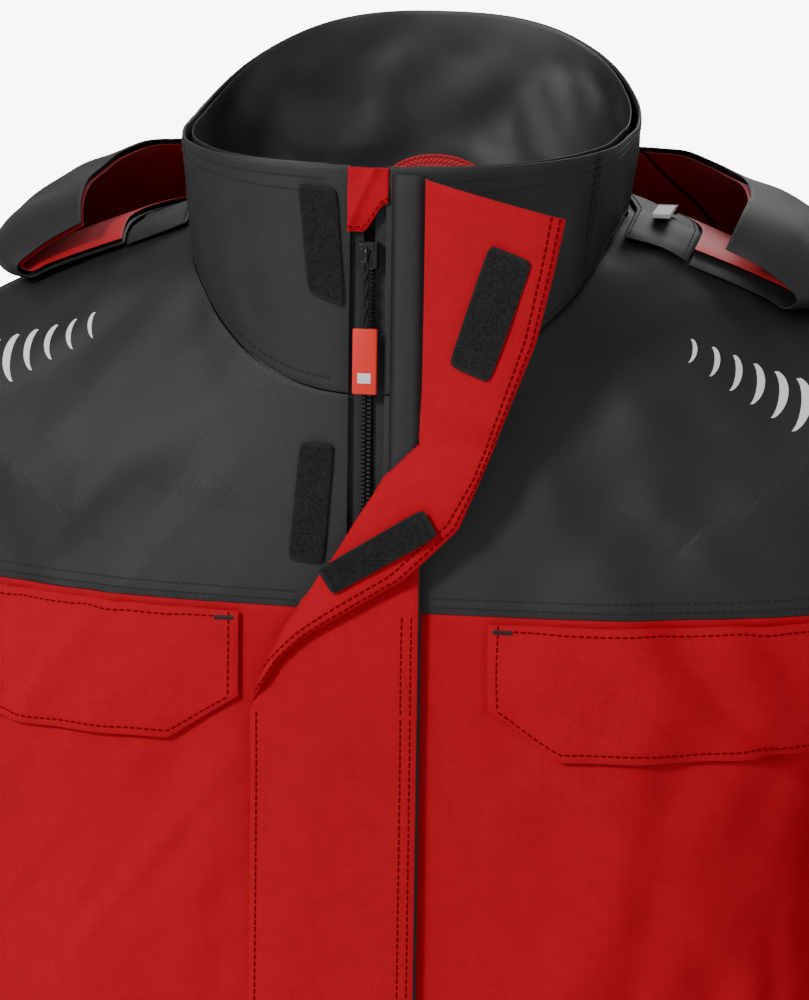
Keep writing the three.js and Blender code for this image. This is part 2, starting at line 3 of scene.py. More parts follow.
import bpy
import bmesh
import numpy as np
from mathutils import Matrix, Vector


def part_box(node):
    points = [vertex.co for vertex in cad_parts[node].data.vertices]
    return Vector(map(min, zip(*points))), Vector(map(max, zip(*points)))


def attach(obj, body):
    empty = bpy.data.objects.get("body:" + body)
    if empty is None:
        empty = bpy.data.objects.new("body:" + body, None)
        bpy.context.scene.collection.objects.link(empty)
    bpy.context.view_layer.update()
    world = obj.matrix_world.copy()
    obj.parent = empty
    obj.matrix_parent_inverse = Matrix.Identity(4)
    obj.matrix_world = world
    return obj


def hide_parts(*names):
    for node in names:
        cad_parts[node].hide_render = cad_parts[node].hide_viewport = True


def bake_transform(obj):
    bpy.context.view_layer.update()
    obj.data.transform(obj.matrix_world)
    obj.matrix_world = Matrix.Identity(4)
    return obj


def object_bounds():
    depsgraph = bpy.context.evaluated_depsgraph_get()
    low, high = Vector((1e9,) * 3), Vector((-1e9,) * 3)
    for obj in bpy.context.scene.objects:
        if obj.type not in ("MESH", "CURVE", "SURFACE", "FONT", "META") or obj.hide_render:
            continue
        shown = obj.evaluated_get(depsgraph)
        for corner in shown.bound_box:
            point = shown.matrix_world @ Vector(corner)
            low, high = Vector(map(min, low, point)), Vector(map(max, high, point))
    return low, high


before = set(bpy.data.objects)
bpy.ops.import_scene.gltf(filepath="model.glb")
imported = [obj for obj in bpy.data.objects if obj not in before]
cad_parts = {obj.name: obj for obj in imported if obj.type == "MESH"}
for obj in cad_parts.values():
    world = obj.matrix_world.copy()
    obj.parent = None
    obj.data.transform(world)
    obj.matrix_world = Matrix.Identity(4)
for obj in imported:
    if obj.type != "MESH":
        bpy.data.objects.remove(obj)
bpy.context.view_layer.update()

# ---- sizes in millimetres, in the garment's own frame ----
COLLAR_TOP = 38.0
FRONT_Y = -96.0
CENTRE_Y = 5.0
LEAN = math.tan(math.radians(4))
HEM = -760.0
YOKE_SEAM = -158.0
ARMHOLE_X = 215.0
HOOD_END = 2.0
HOOD_FRONT_TURN = 80
HOOD_SPLIT = 148
ORIGIN = np.array([0.0, 63.048, 15.0])
HINGE_X = 25.5
FLAP_WIDTH = 75.0

# half width, back, front height, side height, rear height, squareness
RINGS = np.array([
    (103, 84, COLLAR_TOP, 40, 80, 2.6),
    (98, 76, -62, 0, 4, 2.3),
    (130, 91, -86, -13, -10, 2.2),
    (183, 110, -120, -38, -45, 2.3),
    (228, 124, -168, -72, -95, 2.5),
    (240, 130, -225, -160, -185, 2.7),
    (212, 130, -300, -292, -300, 2.7),
    (222, 124, -480, -480, -480, 2.6),
    (238, 124, HEM, HEM, HEM, 2.6),
], float)
HALF, BACK, FRONT, SIDE, REAR, SQUARE = range(6)
LAST = len(RINGS) - 1


# ---- body form ----
def between(key, row):
    """Smooth value of one ring size between rows."""
    row = np.asarray(row, float)
    values = RINGS[:, key]
    i = np.clip(np.floor(row).astype(int), 0, LAST - 1)
    t = row - i

    def at(k):
        return values[np.clip(k, 0, LAST)]

    def slope(k):
        return np.where((k == 1) | (k <= 0) | (k >= LAST), 0, (at(k + 1) - at(k - 1)) / 2)

    a, b = at(i), at(i + 1)
    first = np.where((i == 1) | (i == 0), b - a, slope(i))
    last = np.where((i + 1 == 1) | (i + 1 == LAST), b - a, slope(i + 1))
    ends = a * (2 * t**3 - 3 * t**2 + 1) + b * (3 * t**2 - 2 * t**3)
    return ends + first * (t**3 - 2 * t**2 + t) + last * (t**3 - t**2)


def front_face(z):
    return FRONT_Y - (COLLAR_TOP - z) * LEAN


def body_point(turn, row):
    turn, row = np.broadcast_arrays(np.asarray(turn, float), np.asarray(row, float))
    angle = np.radians(turn)
    power = 2 / between(SQUARE, row)
    sine, cosine = np.sin(angle), np.cos(angle)
    reach = np.abs(cosine) ** power
    front = between(FRONT, row)
    ahead = cosine > 0
    end = np.where(ahead, front, between(REAR, row))
    depth = np.where(ahead, front_face(front), between(BACK, row)) - CENTRE_Y
    side = between(SIDE, row)
    x = np.sign(sine) * np.abs(sine) ** power * between(HALF, row)
    return np.stack([x, CENTRE_Y + depth * reach, side + (end - side) * np.abs(cosine) ** 1.5], -1)


def body_normal(turn, row):
    low, high = np.maximum(row - 0.02, 0), np.minimum(row + 0.02, LAST)
    across = body_point(turn + 0.6, row) - body_point(turn - 0.6, row)
    down = body_point(turn, high) - body_point(turn, low)
    n = np.cross(down, across)
    return n / np.linalg.norm(n, axis=-1, keepdims=True)


def turn_at(x, row):
    share = np.minimum(np.abs(x) / between(HALF, row), 1)
    return np.sign(x) * np.degrees(np.arcsin(share ** (between(SQUARE, row) / 2)))


def smooth(value, low, high):
    t = np.clip((value - low) / (high - low), 0, 1)
    return t * t * (3 - 2 * t)


def ripple(points, size, seed, count=9):
    """Soft folds about one size across, the same wherever they are read."""
    rng = np.random.default_rng(seed)
    total = np.zeros(points.shape[:-1])
    for _ in range(count):
        way = rng.normal(size=3)
        way /= np.linalg.norm(way)
        wave = 2 * math.pi / (size * rng.uniform(0.7, 1.5))
        total += np.sin(points @ way * wave + rng.uniform(0, 2 * math.pi))
    return total / math.sqrt(count)


def crease(along, size, seed):
    """Narrow ridges with wide hollows between them, from minus one to one."""
    wave = ripple(along, size, seed, 7)
    return np.tanh(1.6 * wave) * (0.6 + 0.4 * np.cos(wave * 2.2))


def drape(points):
    """How far the cloth stands off the plain body form, in millimetres."""
    x, z = points[..., 0], points[..., 2]
    calm = np.where(points[..., 1] > 0, 1.0, smooth(np.abs(x), 32, 95))
    low = smooth(-z, 90, 430)
    hanging = crease(points * np.array([1.0, 1.0, 0.2]), 74, 3) * (1.6 + 3.6 * low)
    slope = np.stack([x + 0.9 * z * np.sign(x), points[..., 1], 0.25 * z], -1)
    drag = crease(slope, 88, 13) * 2.8 * smooth(-z, 40, 120) * (1 - smooth(-z, 300, 420))
    soft = ripple(points, 120, 5) * 2.0
    fine = ripple(points * np.array([1.0, 1.0, 0.45]), 26, 8) * 0.7
    return (hanging + drag + soft + fine) * calm


def on_body(turn, row, out=0.0, folds=1.0):
    point = body_point(turn, row)
    return point + body_normal(turn, row) * (out + folds * drape(point))[..., None]


def row_at(x, z):
    x, z = np.broadcast_arrays(np.asarray(x, float), np.asarray(z, float))
    low, high = np.full(x.shape, 1.0), np.full(x.shape, float(LAST))
    for _ in range(26):
        middle = (low + high) / 2
        above = body_point(turn_at(x, middle), middle)[..., 2] > z
        low, high = np.where(above, middle, low), np.where(above, high, middle)
    return (low + high) / 2


def on_front(x, z, out=0.0):
    row = row_at(x, z)
    return on_body(turn_at(x, row), row, out)


def on_band(x, forward, up):
    """A point of the zip's own frame: x across, forward of the front face, up the zip."""
    x, forward, up = np.broadcast_arrays(*(np.asarray(v, float) for v in (x, forward, up)))
    lean = math.radians(4)
    y = FRONT_Y - forward * math.cos(lean) + up * math.sin(lean)
    z = COLLAR_TOP + forward * math.sin(lean) + up * math.cos(lean)
    return np.stack([x, y, z], -1)


def metres(points):
    return (np.asarray(points, float) - ORIGIN) / 1000


# ---- meshes ----
def face_outwards(mesh):
    form = bmesh.new()
    form.from_mesh(mesh)
    bmesh.ops.recalc_face_normals(form, faces=form.faces)
    form.to_mesh(mesh)
    form.free()


def new_piece(name, verts, faces, material, uvs=None):
    mesh = bpy.data.meshes.new(name)
    mesh.from_pydata(metres(verts).tolist(), [], faces)
    if uvs is not None:
        layer = mesh.uv_layers.new(name="UVMap")
        corner = np.empty(len(mesh.loops), int)
        mesh.loops.foreach_get("vertex_index", corner)
        layer.data.foreach_set("uv", uvs[corner].astype(np.float32).ravel())
    face_outwards(mesh)
    mesh.polygons.foreach_set("use_smooth", [True] * len(mesh.polygons))
    mesh.set_sharp_from_angle(angle=math.radians(48))
    mesh.materials.append(material)
    piece = bpy.data.objects.new(name, mesh)
    bpy.context.scene.collection.objects.link(piece)
    return piece


def grid_normal(grid, round_closed=False):
    if round_closed:
        across = np.roll(grid, -1, 1) - np.roll(grid, 1, 1)
    else:
        across = np.gradient(grid, axis=1)
    n = np.cross(np.gradient(grid, axis=0), across)
    return n / np.maximum(np.linalg.norm(n, axis=-1, keepdims=True), 1e-9)


def cloth(name, grid, thick, material, facing=None, tube=False, butted=None):
    """A closed thin layer whose face is the grid, which holds rows of points; returns the piece."""
    n = grid_normal(grid, tube)
    away = facing if facing is not None else grid - np.array([0, CENTRE_Y, 0])
    away = np.broadcast_to(np.asarray(away, float), grid.shape) * (
        np.array([1, 1, 0]) if facing is None else 1)
    if (n * away).sum() < 0:
        n = -n
    rows, cols = grid.shape[:2]
    edge = np.ones((rows, cols))
    edge[0] = edge[-1] = 0.3
    if butted is not None:
        edge[butted] = 1.0
    if not tube:
        edge[:, 0] = edge[:, -1] = 0.3
    middle = grid - n * thick / 2
    verts = np.concatenate([
        (middle + n * (thick / 2) * edge[..., None]).reshape(-1, 3),
        (middle - n * (thick / 2) * edge[..., None]).reshape(-1, 3)])
    along = np.linalg.norm(np.diff(grid, axis=0), axis=-1).mean(1)
    across = np.linalg.norm(np.diff(grid, axis=1), axis=-1)
    u = np.concatenate([np.zeros((rows, 1)), np.cumsum(across, 1)], 1)
    v = np.concatenate([[0], np.cumsum(along)])[:, None] + np.zeros((1, cols))
    uv = np.stack([u, v], -1).reshape(-1, 2) / 1000
    index = np.arange(rows * cols).reshape(rows, cols)
    right = np.roll(index, -1, 1) if tube else index[:, 1:]
    left = index if tube else index[:, :-1]
    face = np.stack([left[:-1], right[:-1], right[1:], left[1:]], -1).reshape(-1, 4)
    count = rows * cols
    faces = [face, face[:, ::-1] + count]
    for k, turned in ((0, False), (rows - 1, True)):
        a, b = left[k].ravel(), right[k].ravel()
        wall = np.stack([a, a + count, b + count, b], -1)
        faces.append(wall[:, ::-1] if turned else wall)
    if not tube:
        for k, turned in ((0, True), (cols - 1, False)):
            a, b = index[:-1, k], index[1:, k]
            wall = np.stack([a, a + count, b + count, b], -1)
            faces.append(wall[:, ::-1] if turned else wall)
    return new_piece(name, verts, np.concatenate(faces).tolist(), material, np.concatenate([uv, uv]))


def sewn(name, grid, thick, material, node, body="root",
         facing=None, tube=False, bend=None, butted=None):
    """A cloth piece that stands for a CAD node."""
    piece = cloth(name, grid, thick, material, facing, tube, butted)
    nodes = [node] if isinstance(node, str) else list(node)
    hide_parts(*nodes)
    if bend:
        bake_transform(piece)
    else:
        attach(piece, body)
    return piece


def stitches(name, lines, material, body="root", pitch=3.2, length=2.3, width=0.55, bend=None):
    """Rows of thread: each line is (points, outward normals)."""
    corners = np.array([(-1, -1, 0), (1, -1, 0), (1, 1, 0), (-1, 1, 0),
                        (-0.6, -0.5, 1), (0.6, -0.5, 1), (0.6, 0.5, 1), (-0.6, 0.5, 1)], float)
    sides = np.array([(0, 3, 2, 1), (4, 5, 6, 7), (0, 1, 5, 4), (1, 2, 6, 5), (2, 3, 7, 6), (3, 0, 4, 7)])
    verts, faces, count = [], [], 0
    for points, normals in lines:
        step = np.linalg.norm(np.diff(points, axis=0), axis=-1)
        run = np.concatenate([[0], np.cumsum(step)])
        marks = np.arange(pitch / 2, run[-1], pitch)
        if not len(marks):
            continue
        at = np.stack([np.interp(marks, run, points[:, k]) for k in range(3)], -1)
        ahead = np.stack([np.interp(marks + 0.5, run, points[:, k]) for k in range(3)], -1)
        up = np.stack([np.interp(marks, run, normals[:, k]) for k in range(3)], -1)
        way = ahead - at
        way /= np.maximum(np.linalg.norm(way, axis=-1, keepdims=True), 1e-9)
        beside = np.cross(up, way)
        beside /= np.maximum(np.linalg.norm(beside, axis=-1, keepdims=True), 1e-9)
        for c in corners:
            across = beside * c[1] * width / 2
            verts.append(at + way * c[0] * length / 2 + across + up * (c[2] * 0.45 - 0.15))
        block = np.stack(verts[-8:], 1).reshape(-1, 3)
        del verts[-8:]
        verts.append(block)
        first = count + 8 * np.arange(len(marks))
        faces.append((first[:, None, None] + sides[None]).reshape(-1, 4))
        count += 8 * len(marks)
    piece = new_piece(name, np.concatenate(verts), np.concatenate(faces).tolist(), material)
    if bend:
        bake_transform(piece)
    else:
        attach(piece, body)
    return piece


# ---- shader groups ----
def shader_group(name, inputs, outputs):
    group = bpy.data.node_groups.new(name, "ShaderNodeTree")
    for label, value in inputs:
        socket = group.interface.new_socket(label, in_out="INPUT", socket_type="NodeSocketFloat")
        socket.default_value = value
    for label in outputs:
        group.interface.new_socket(label, in_out="OUTPUT", socket_type="NodeSocketFloat")
    return group, group.nodes.new("NodeGroupInput"), group.nodes.new("NodeGroupOutput")


def sum_node(tree, kind, a, b):
    node = tree.nodes.new("ShaderNodeMath")
    node.operation = kind
    for socket, value in zip(node.inputs, (a, b)):
        if isinstance(value, (int, float)):
            socket.default_value = value
        else:
            tree.links.new(value, socket)
    return node.outputs[0]


def woven_group():
    """Threads and a ripstop grid, on the cloth's own UV map in metres."""
    group, given, made = shader_group(
        "woven_threads", [("Threads", 900.0), ("Grid", 220.0), ("Grid Depth", 0.5)], ["Height", "Tone"])
    place = group.nodes.new("ShaderNodeUVMap")
    place.uv_map = "UVMap"
    split = group.nodes.new("ShaderNodeSeparateXYZ")
    group.links.new(place.outputs[0], split.inputs[0])
    tau = 2 * math.pi
    threads, grid = [], []
    for axis in (0, 1):
        fine = sum_node(group, "MULTIPLY", sum_node(group, "MULTIPLY", split.outputs[axis],
                                                    given.outputs["Threads"]), tau)
        threads.append(sum_node(group, "SINE", fine, 0.0))
        wide = sum_node(group, "MULTIPLY", sum_node(group, "MULTIPLY", split.outputs[axis],
                                                    given.outputs["Grid"]), math.pi)
        line = sum_node(group, "ABSOLUTE", sum_node(group, "COSINE", wide, 0.0), 0.0)
        grid.append(sum_node(group, "POWER", line, 14.0))
    weave = sum_node(group, "MULTIPLY", sum_node(group, "MULTIPLY", threads[0], threads[1]), 0.3)
    lines = sum_node(group, "MULTIPLY", sum_node(group, "MAXIMUM", grid[0], grid[1]),
                     given.outputs["Grid Depth"])
    group.links.new(sum_node(group, "ADD", weave, lines), made.inputs["Height"])
    group.links.new(lines, made.inputs["Tone"])
    return group


def age_group():
    """Uneven dye and rubbed patches, on Object coordinates."""
    group, given, made = shader_group("uneven_dye", [("Size", 9.0), ("Fine", 120.0)], ["Patch", "Speck"])
    place = group.nodes.new("ShaderNodeTexCoord")
    for label, detail in (("Size", 4.0), ("Fine", 2.0)):
        noise = group.nodes.new("ShaderNodeTexNoise")
        noise.inputs["Detail"].default_value = detail
        group.links.new(place.outputs["Object"], noise.inputs["Vector"])
        group.links.new(given.outputs[label], noise.inputs["Scale"])
        group.links.new(noise.outputs["Fac"], made.inputs["Patch" if label == "Size" else "Speck"])
    return group


WOVEN = woven_group()
DYE = age_group()


def placed(tree, group, **values):
    node = tree.nodes.new("ShaderNodeGroup")
    node.node_tree = group
    for label, value in values.items():
        node.inputs[label.replace("_", " ")].default_value = value
    return node


def finish(name, dark, light, rough, metal=0.0, sheen=0.0, threads=None, grid=0.0, bump=0.15,
           coat=0.0, fine=120.0, reach=0.0006, gloss=0.5):
    """A material between a dark and a light tone, with its own grain."""
    material = bpy.data.materials.new(name)
    material.use_nodes = True
    tree = material.node_tree
    shader = tree.nodes["Principled BSDF"]
    shader.inputs["Metallic"].default_value = metal
    shader.inputs["Specular IOR Level"].default_value = gloss
    shader.inputs["Sheen Weight"].default_value = sheen
    shader.inputs["Sheen Roughness"].default_value = 0.45
    shader.inputs["Coat Weight"].default_value = coat
    dye = placed(tree, DYE, Fine=fine)
    mix = tree.nodes.new("ShaderNodeMix")
    mix.data_type = "RGBA"
    mix.inputs[6].default_value = (*dark, 1)
    mix.inputs[7].default_value = (*light, 1)
    share = sum_node(tree, "ADD", sum_node(tree, "MULTIPLY", dye.outputs["Patch"], 0.6),
                     sum_node(tree, "MULTIPLY", dye.outputs["Speck"], 0.4))
    height = sum_node(tree, "MULTIPLY", dye.outputs["Speck"], 0.5)
    if threads:
        woven = placed(tree, WOVEN, Threads=threads, Grid_Depth=grid)
        share = sum_node(tree, "SUBTRACT", share, sum_node(tree, "MULTIPLY", woven.outputs["Tone"], 0.5))
        height = sum_node(tree, "ADD", height, woven.outputs["Height"])
    tree.links.new(share, mix.inputs[0])
    tree.links.new(mix.outputs[2], shader.inputs["Base Color"])
    wide = tree.nodes.new("ShaderNodeMapRange")
    wide.inputs["To Min"].default_value = rough - 0.08
    wide.inputs["To Max"].default_value = min(rough + 0.08, 1.0)
    tree.links.new(dye.outputs["Patch"], wide.inputs["Value"])
    tree.links.new(wide.outputs[0], shader.inputs["Roughness"])
    relief = tree.nodes.new("ShaderNodeBump")
    relief.inputs["Strength"].default_value = bump
    relief.inputs["Distance"].default_value = reach
    tree.links.new(height, relief.inputs["Height"])
    tree.links.new(relief.outputs[0], shader.inputs["Normal"])
    return material


RED = finish("red_ripstop", (0.36, 0.0, 0.006), (0.58, 0.0, 0.014), 0.78, sheen=0.0, threads=900,
             grid=0.16, bump=0.3, gloss=0.2)
BLACK = finish("black_weave", (0.006, 0.006, 0.007), (0.016, 0.016, 0.018), 0.56, sheen=0.0,
               threads=800, bump=0.35)
LINING = finish("black_taffeta", (0.010, 0.010, 0.012), (0.026, 0.026, 0.030), 0.46, sheen=0.0,
                threads=1000, bump=0.2)
RED_LINING = finish("red_taffeta", (0.34, 0.0, 0.004), (0.56, 0.0, 0.010), 0.5, sheen=0.12,
                    threads=1000, bump=0.2)
FUZZ = finish("hook_and_loop_pile", (0.004, 0.004, 0.004), (0.016, 0.016, 0.017), 0.95, sheen=0.0,
              bump=0.9, fine=900.0, reach=0.001)
TAPE = finish("zip_tape", (0.010, 0.010, 0.011), (0.030, 0.030, 0.032), 0.75, threads=600, bump=0.5)
COIL = finish("zip_coil_nylon", (0.008, 0.008, 0.009), (0.022, 0.022, 0.024), 0.38, coat=0.1)
METAL = finish("black_enamelled_metal", (0.012, 0.012, 0.013), (0.035, 0.035, 0.037), 0.28,
               metal=0.5, coat=0.5)
RUBBER = finish("orange_red_rubber", (0.74, 0.016, 0.008), (0.90, 0.03, 0.016), 0.5, bump=0.1)
WHITE = finish("white_rubber", (0.70, 0.70, 0.68), (0.84, 0.84, 0.82), 0.5, bump=0.1)
WEBBING = finish("red_webbing", (0.40, 0.006, 0.016), (0.62, 0.018, 0.03), 0.7,
                 sheen=0.1, threads=420, bump=0.9)
REFLECTIVE = finish("silver_reflective_film", (0.84, 0.85, 0.86), (0.95, 0.95, 0.96), 0.35, bump=0.05)
RED_THREAD = finish("red_thread", (0.09, 0.0, 0.002), (0.17, 0.0, 0.004), 0.8, gloss=0.1)
BLACK_THREAD = finish("black_thread", (0.006, 0.006, 0.006), (0.02, 0.02, 0.02), 0.6)


# ---- shell ----
def side_turn(row):
    """Where a panel ends at the side: the armhole above, the side seam below."""
    return np.where(row < 6, turn_at(ARMHOLE_X, row), 89.9)


def shell_row(turn_of, level):
    """Row at which each column of a panel passes a level."""
    low, high = np.full(turn_of(1.0).shape, 1.012), np.full(turn_of(1.0).shape, float(LAST))
    for _ in range(26):
        middle = (low + high) / 2
        above = body_point(turn_of(middle), middle)[..., 2] > level
        low, high = np.where(above, middle, low), np.where(above, high, middle)
    return (low + high) / 2


def panel_place(sign, back):
    """A function from (share across, row) to the turn."""
    if back:
        return lambda s, row: 180 + (2 * s - 1) * side_turn(row)
    return lambda s, row: sign * (turn_at(8, row) + s * (side_turn(row) - turn_at(8, row)))


def panel_grid(sign, back, part, cols, rows, out=0.0):
    """part is yoke, panel or whole."""
    turn = panel_place(sign, back)
    s = np.linspace(0, 1, cols)
    seam = shell_row(lambda row: turn(s, row), YOKE_SEAM)
    first = seam + 0.002 if part == "panel" else np.full(cols, 1.012)
    last = seam - 0.002 if part == "yoke" else np.full(cols, float(LAST))
    row = first[None] + np.linspace(0, 1, rows)[:, None] * (last - first)[None]
    return on_body(turn(s[None], row), row, out)


def shell():
    for side, sign in (("right", -1), ("left", 1)):
        sewn("yoke_" + side, panel_grid(sign, False, "yoke", 70, 60), 1.2, BLACK,
             "front_yoke_" + side)
        sewn("panel_" + side, panel_grid(sign, False, "panel", 80, 190), 1.2, RED, "front_panel_" + side)
        sewn("lining_" + side, panel_grid(sign, False, "whole", 36, 90, -3.6), 0.8, LINING,
             "front_lining_" + side)
    sewn("yoke_back", panel_grid(1, True, "yoke", 110, 50), 1.2, BLACK, "back_yoke")
    sewn("panel_back", panel_grid(1, True, "panel", 150, 180), 1.2, RED, "back_panel")
    sewn("lining_back", panel_grid(1, True, "whole", 70, 90, -3.6), 0.8, LINING, "back_lining")


def yoke_stitching():
    lines, hem = [], []
    for sign in (-1, 1):
        x = sign * np.linspace(30, 205, 120)
        for level in (YOKE_SEAM + 3, YOKE_SEAM + 7):
            point = on_front(x, level, 0.15)
            row = row_at(x, np.full_like(x, level))
            lines.append((point, body_normal(turn_at(x, row), row)))
        x = sign * np.linspace(12, 205, 120)
        for up in (8, 14):
            row = row_at(x, np.full_like(x, HEM + up))
            turn = turn_at(x, row)
            hem.append((on_body(turn, row, 0.15), body_normal(turn, row)))
    stitches("yoke_stitching", lines, BLACK_THREAD)
    stitches("hem_stitching", hem, RED_THREAD)


# ---- collar ----
def collar():
    corner = 62
    t = np.linspace(0, 1, 70)[:, None]
    row = 0.995 * t

    def stand(turn, row, out=0.0):
        """The collar's own soft creases, calm at the zip and along both edges."""
        form = body_point(turn, row)
        slack = crease(form * np.array([1.0, 1.0, 0.35]), 52, 33) * 1.2 + ripple(form, 30, 34) * 0.6
        side = smooth(np.abs(form[..., 0]), 34, 60) + (form[..., 1] > 0)
        calm = smooth(row, 0.08, 0.35) * (1 - smooth(row, 0.75, 0.97)) * np.clip(side, 0, 1)
        return on_body(turn, row, out + slack * calm, 0.5)

    for side, sign in (("right", -1), ("left", 1)):
        s = np.linspace(0, 1, 40)[None]
        first = turn_at(8, row)
        turn = sign * (first + s * (corner - 0.15 - first))
        sewn("collar_" + side, stand(turn, row), 1.6, BLACK, "collar_front_" + side)
    s = np.linspace(0, 1, 100)[None]
    turn = corner + 0.15 + s * (360 - 2 * corner - 0.3)
    sewn("collar_back_cloth", stand(turn, row), 1.6, BLACK, "collar_back")
    first = turn_at(19, row)
    turn = first + s * (360 - 2 * first)
    inside = body_point(turn, row)
    slack = crease(inside * np.array([1.0, 1.0, 0.45]), 46, 27) * 1.5 + ripple(inside, 24, 28) * 0.5
    slack = slack * smooth(row, 0.05, 0.3) * (1 - smooth(row, 0.8, 0.98))
    sewn("collar_lining_cloth", on_body(turn, row, -4.6 + slack, 0.5), 0.8, LINING, "collar_lining")
    around = np.linspace(7, 353, 320)
    lines = []
    for level in (0.06, 0.12, 0.94):
        lines.append((stand(around, np.full_like(around, level), 0.15),
                      body_normal(around, np.full_like(around, level))))
    down = np.linspace(0.04, 0.96, 40)
    for turn in (corner - 1.2, corner + 1.2):
        for sign in (-1, 1):
            lines.append((stand(np.full_like(down, sign * turn), down, 0.15),
                          body_normal(np.full_like(down, sign * turn), down)))
    stitches("collar_stitching", lines, BLACK_THREAD)


# ---- front zip ----
def oblong(name, low, high, material, body, bevel=0.4):
    """A rounded block from its low to its high corner, in the zip's own frame."""
    for o in bpy.context.selected_objects:
        o.select_set(False)
    middle = (np.array(low) + np.array(high)) / 2
    size = np.abs(np.array(high) - np.array(low))
    bpy.ops.mesh.primitive_cube_add(size=1)
    piece = bpy.context.object
    piece.name = name
    bpy.ops.object.mode_set(mode="EDIT")
    bpy.ops.mesh.select_all(action="SELECT")
    bpy.ops.transform.resize(value=(size[0], size[1], size[2]))
    bpy.ops.mesh.bevel(offset=bevel, segments=3, affect="EDGES")
    bpy.ops.object.mode_set(mode="OBJECT")
    at = np.array([v.co for v in piece.data.vertices]) + middle
    place = metres(on_band(at[:, 0], at[:, 1], at[:, 2]))
    piece.data.vertices.foreach_set("co", place.astype(np.float32).ravel())
    face_outwards(piece.data)
    bpy.ops.object.shade_smooth_by_angle(angle=math.radians(40))
    piece.data.materials.append(material)
    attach(piece, body)
    return piece


ZIP_TOP = -9.0
ZIP_BOTTOM = -783.95


def zip_tapes():
    level = np.linspace(ZIP_TOP, ZIP_BOTTOM, 200)[:, None]
    for side, sign in (("right", -1), ("left", 1)):
        x = sign * np.linspace(2.5, 13, 10)[None]
        ribs = 0.12 * np.sin(level * 2.4)
        sewn("tape_" + side, on_band(x, -3.7 + ribs, level), 0.8, TAPE, "zip_tape_" + side,
             facing=(0, -1, 0))


def zip_coils():
    """Nylon coil teeth, one small block each."""
    corners = np.array([(0, 0, 0), (1, 0, 0), (1, 0, 1), (0, 0, 1),
                        (0.1, 1, 0.1), (0.9, 1, 0.1), (0.9, 1, 0.9), (0.1, 1, 0.9)], float)
    sides = np.array([(0, 1, 2, 3), (4, 7, 6, 5), (0, 4, 5, 1), (1, 5, 6, 2), (2, 6, 7, 3), (3, 7, 4, 0)])
    pitch = 1.9
    for side, sign in (("right", -1), ("left", 1)):
        start = -45.0 - (pitch / 2 if sign > 0 else 0)
        marks = np.arange(start, ZIP_BOTTOM + 15, -pitch)
        x = sign * (0.1 + corners[:, 0] * 2.2)
        forward = -4.4 + corners[:, 1] * 3.6
        up = marks[:, None] + corners[None, :, 2] * 1.25
        verts = on_band(x[None], forward[None], up).reshape(-1, 3)
        faces = (8 * np.arange(len(marks))[:, None, None] + sides[None]).reshape(-1, 4)
        piece = new_piece("coil_" + side, verts, faces.tolist(), COIL)
        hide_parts("zip_coil_" + side)
        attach(piece, "root")


def tube(name, path, radius, material, body):
    """A closed tube along a path of points."""
    path = np.asarray(path, float)
    way = np.gradient(path, axis=0)
    way /= np.linalg.norm(way, axis=1, keepdims=True)
    up = np.array([0.0, 1.0, 0.03]) if abs(way[:, 1]).mean() < 0.8 else np.array([0.0, 0.0, 1.0])
    beside = np.cross(way, up)
    beside /= np.linalg.norm(beside, axis=1, keepdims=True)
    over = np.cross(beside, way)
    around = 10
    angle = np.linspace(0, 2 * math.pi, around, endpoint=False)
    ring = (beside[:, None] * np.cos(angle)[None, :, None]
            + over[:, None] * np.sin(angle)[None, :, None]) * radius
    verts = (path[:, None] + ring).reshape(-1, 3)
    index = np.arange(len(path) * around).reshape(len(path), around)
    right = np.roll(index, -1, 1)
    faces = np.stack([index[:-1], right[:-1], right[1:], index[1:]], -1).reshape(-1, 4).tolist()
    faces += [index[0].tolist(), index[-1, ::-1].tolist()]
    piece = new_piece(name, verts, faces, material)
    if body:
        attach(piece, body)
    return piece


def zip_slider():
    top, length = -33.0, 11.0
    for node, material in (("zip_slider", METAL), ("zip_bottom_box", METAL), ("hood_zip_slider", METAL)):
        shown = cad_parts[node]
        for slot in shown.material_slots:
            slot.material = material
    bridge = [on_band(0, 2.2 + 1.9 * math.sin(a), top - 5.5 - 3.6 * math.cos(a))
              for a in np.linspace(0.15, math.pi - 0.15, 16)]
    tube("slider_bridge", bridge, 0.8, METAL, "zip_slider")
    oblong("slider_crown", (-3.4, 2.2, top - 3), (3.4, 2.9, top - 0.4), METAL, "zip_slider", 0.3)
    oblong("slider_tail", (-2.3, 2.2, top - length + 0.3), (2.3, 2.8, top - length + 3), METAL,
           "zip_slider", 0.3)


def zip_pull():
    top = -36.0
    strands = []
    run = np.linspace(0, 1, 60)
    for phase in (0, math.pi):
        twist = phase + run * 2 * math.pi * 2.2
        x = 0.85 * np.cos(twist)
        forward = 3.1 + 0.55 * np.sin(twist)
        strands.append(on_band(x, forward, top - 34 * run))
    first = tube("pull_cord", strands[0], 0.72, FUZZ, None)
    second = tube("pull_cord_twin", strands[1], 0.72, FUZZ, None)
    for piece in (first, second):
        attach(piece, "zip_pull")
    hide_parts("zip_pull_cord")
    tab_top = top - 34.35
    tab = oblong("pull_tab_rubber", (-5.5, 2.45, tab_top - 29), (5.5, 4.4, tab_top), RUBBER,
                 "zip_pull", 0.8)
    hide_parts("zip_pull_tab")
    bar = oblong("pull_tab_bar", (-3.0, 4.3, tab_top - 24), (3.0, 4.75, tab_top - 19.5), WHITE,
                 "zip_pull", 0.2)


